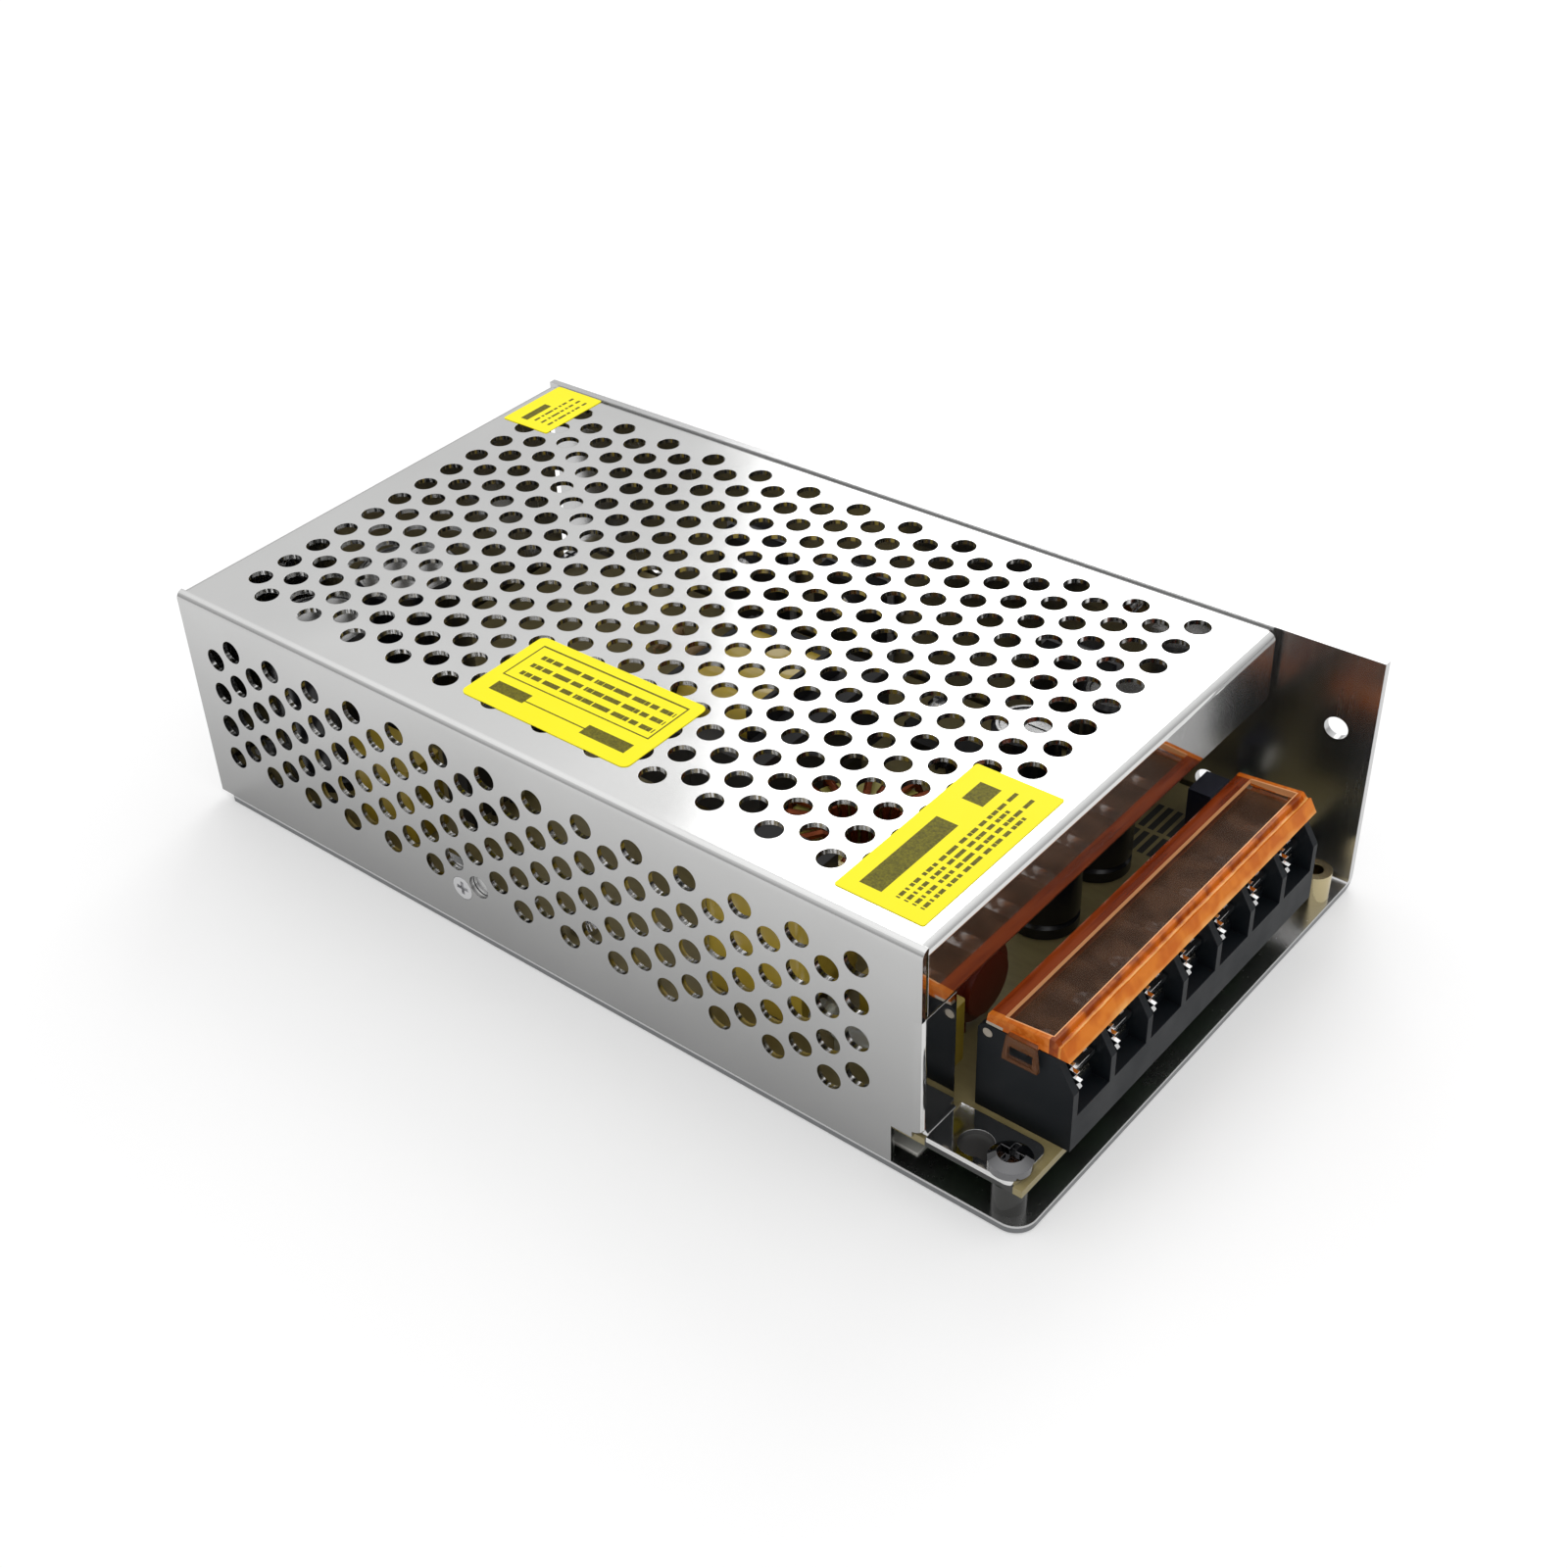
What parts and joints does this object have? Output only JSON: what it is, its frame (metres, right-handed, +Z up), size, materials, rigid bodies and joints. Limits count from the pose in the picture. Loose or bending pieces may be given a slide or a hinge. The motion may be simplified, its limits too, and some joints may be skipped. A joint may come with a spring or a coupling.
{
  "type": "mesh case switching power supply",
  "caption": "Enclosed AC-DC switching power supply: folded sheet chassis, perforated cover, screw terminals under a hinged clear cover, and a populated circuit board.",
  "frame": {"origin": "centre of the bounding box's footprint, on the underside of the chassis base", "axes": "+X along the case towards the terminal end, +Y towards the solid side wall that cools the transistors, +Z up through the perforated top"},
  "size_m": [0.199, 0.11, 0.0501],
  "materials": {
    "sheet": "satin",
    "cover_sheet": "satin",
    "screw_steel": "polished",
    "brass": "polished",
    "contact": "tin plated",
    "clamp": "polished",
    "board": "satin",
    "film": "satin",
    "block_plastic": "satin",
    "clear_amber": "clear",
    "trimmer_blue": "gloss",
    "white_plastic": "satin",
    "led_lens": "clear",
    "fuse_glass": "clear",
    "disc_green": "satin",
    "disc_brown": "satin",
    "disc_blue": "satin",
    "film_yellow": "satin",
    "ferrite": "matte",
    "tape": "satin",
    "epoxy_black": "matte",
    "sleeve": "satin",
    "pad": "matte",
    "core_yellow": "satin",
    "enamel_wire": "glossy enamel",
    "resistor_body": "satin",
    "sticker": "satin"
  },
  "bodies": {
    "case": {"chassis": "sheet", "mesh_cover": "cover_sheet", "cover_screws": "screw_steel", "circuit_board": "board", "insulating_sheet": "film", "pillars": "brass", "board_screws": "screw_steel", "tab_screw": "screw_steel", "terminal_block": "block_plastic", "terminal_contacts": "contact", "trimmer_body": "trimmer_blue", "indicator_led": "led_lens", "fuse": "fuse_glass", "fuse_clips": "contact", "thermistor": "disc_green", "varistor": "disc_brown", "x_capacitor": "film_yellow", "y_capacitors": "disc_blue", "filter_core": "ferrite", "filter_winding": "tape", "bridge_rectifier": "epoxy_black", "bulk_capacitors": "sleeve", "coupling_capacitor": "film_yellow", "drive_transformer": "tape", "switching_transistors": "epoxy_black", "output_rectifier": "epoxy_black", "insulating_pads": "pad", "transistor_screws": "screw_steel", "transformer_core": "ferrite", "transformer_bobbin": "epoxy_black", "transformer_winding": "tape", "choke_core": "core_yellow", "choke_winding": "enamel_wire", "output_capacitors": "sleeve", "control_chip": "epoxy_black", "resistors": "resistor_body", "label_front": "sticker", "label_middle": "sticker", "label_rear": "sticker"},
    "terminal_cover": {"terminal_cover": "clear_amber"},
    "trimmer_rotor": {"trimmer_rotor": "white_plastic"},
    "clamp_plate_1": {"clamp_plate_1": "clamp"},
    "clamp_plate_2": {"clamp_plate_2": "clamp"},
    "clamp_plate_3": {"clamp_plate_3": "clamp"},
    "clamp_plate_4": {"clamp_plate_4": "clamp"},
    "clamp_plate_5": {"clamp_plate_5": "clamp"},
    "clamp_plate_6": {"clamp_plate_6": "clamp"},
    "clamp_plate_7": {"clamp_plate_7": "clamp"},
    "terminal_screw_1": {"terminal_screw_1": "screw_steel"},
    "terminal_screw_2": {"terminal_screw_2": "screw_steel"},
    "terminal_screw_3": {"terminal_screw_3": "screw_steel"},
    "terminal_screw_4": {"terminal_screw_4": "screw_steel"},
    "terminal_screw_5": {"terminal_screw_5": "screw_steel"},
    "terminal_screw_6": {"terminal_screw_6": "screw_steel"},
    "terminal_screw_7": {"terminal_screw_7": "screw_steel"}
  },
  "joints": [
    {"name": "terminal_cover_hinge", "type": "hinge", "parent": "case", "child": "terminal_cover", "pos_m": [0.0834, 0, 0.0262], "axis": [0, -1, 0], "range_deg": [0, 70]},
    {"name": "trimmer_turn", "type": "hinge", "parent": "case", "child": "trimmer_rotor", "pos_m": [0.0765, 0.044, 0.01485], "axis": [1, 0, 0], "range_deg": [-135, 135]},
    {"name": "clamp_slide_1", "type": "slide", "parent": "case", "child": "clamp_plate_1", "axis": [0, 0, 1], "range_m": [-0.0021, 0.0003]},
    {"name": "terminal_screw_turn_1", "type": "hinge", "parent": "clamp_plate_1", "child": "terminal_screw_1", "pos_m": [0.0906, -0.03595, 0.0222], "axis": [0, 0, 1], "range_deg": [-1267, 187]},
    {"name": "clamp_slide_2", "type": "slide", "parent": "case", "child": "clamp_plate_2", "axis": [0, 0, 1], "range_m": [-0.0021, 0.0003]},
    {"name": "terminal_screw_turn_2", "type": "hinge", "parent": "clamp_plate_2", "child": "terminal_screw_2", "pos_m": [0.0906, -0.02495, 0.0222], "axis": [0, 0, 1], "range_deg": [-1267, 187]},
    {"name": "clamp_slide_3", "type": "slide", "parent": "case", "child": "clamp_plate_3", "axis": [0, 0, 1], "range_m": [-0.0021, 0.0003]},
    {"name": "terminal_screw_turn_3", "type": "hinge", "parent": "clamp_plate_3", "child": "terminal_screw_3", "pos_m": [0.0906, -0.01395, 0.0222], "axis": [0, 0, 1], "range_deg": [-1267, 187]},
    {"name": "clamp_slide_4", "type": "slide", "parent": "case", "child": "clamp_plate_4", "axis": [0, 0, 1], "range_m": [-0.0021, 0.0003]},
    {"name": "terminal_screw_turn_4", "type": "hinge", "parent": "clamp_plate_4", "child": "terminal_screw_4", "pos_m": [0.0906, -0.00295, 0.0222], "axis": [0, 0, 1], "range_deg": [-1267, 187]},
    {"name": "clamp_slide_5", "type": "slide", "parent": "case", "child": "clamp_plate_5", "axis": [0, 0, 1], "range_m": [-0.0021, 0.0003]},
    {"name": "terminal_screw_turn_5", "type": "hinge", "parent": "clamp_plate_5", "child": "terminal_screw_5", "pos_m": [0.0906, 0.00805, 0.0222], "axis": [0, 0, 1], "range_deg": [-1267, 187]},
    {"name": "clamp_slide_6", "type": "slide", "parent": "case", "child": "clamp_plate_6", "axis": [0, 0, 1], "range_m": [-0.0021, 0.0003]},
    {"name": "terminal_screw_turn_6", "type": "hinge", "parent": "clamp_plate_6", "child": "terminal_screw_6", "pos_m": [0.0906, 0.01905, 0.0222], "axis": [0, 0, 1], "range_deg": [-1267, 187]},
    {"name": "clamp_slide_7", "type": "slide", "parent": "case", "child": "clamp_plate_7", "axis": [0, 0, 1], "range_m": [-0.0021, 0.0003]},
    {"name": "terminal_screw_turn_7", "type": "hinge", "parent": "clamp_plate_7", "child": "terminal_screw_7", "pos_m": [0.0906, 0.03005, 0.0222], "axis": [0, 0, 1], "range_deg": [-1267, 187]}
  ],
  "couplings": [
    {"joint": "terminal_screw_turn_1", "follows": "clamp_slide_1", "rad_per_m": 10472},
    {"joint": "terminal_screw_turn_2", "follows": "clamp_slide_2", "rad_per_m": 10472},
    {"joint": "terminal_screw_turn_3", "follows": "clamp_slide_3", "rad_per_m": 10472},
    {"joint": "terminal_screw_turn_4", "follows": "clamp_slide_4", "rad_per_m": 10472},
    {"joint": "terminal_screw_turn_5", "follows": "clamp_slide_5", "rad_per_m": 10472},
    {"joint": "terminal_screw_turn_6", "follows": "clamp_slide_6", "rad_per_m": 10472},
    {"joint": "terminal_screw_turn_7", "follows": "clamp_slide_7", "rad_per_m": 10472}
  ]
}
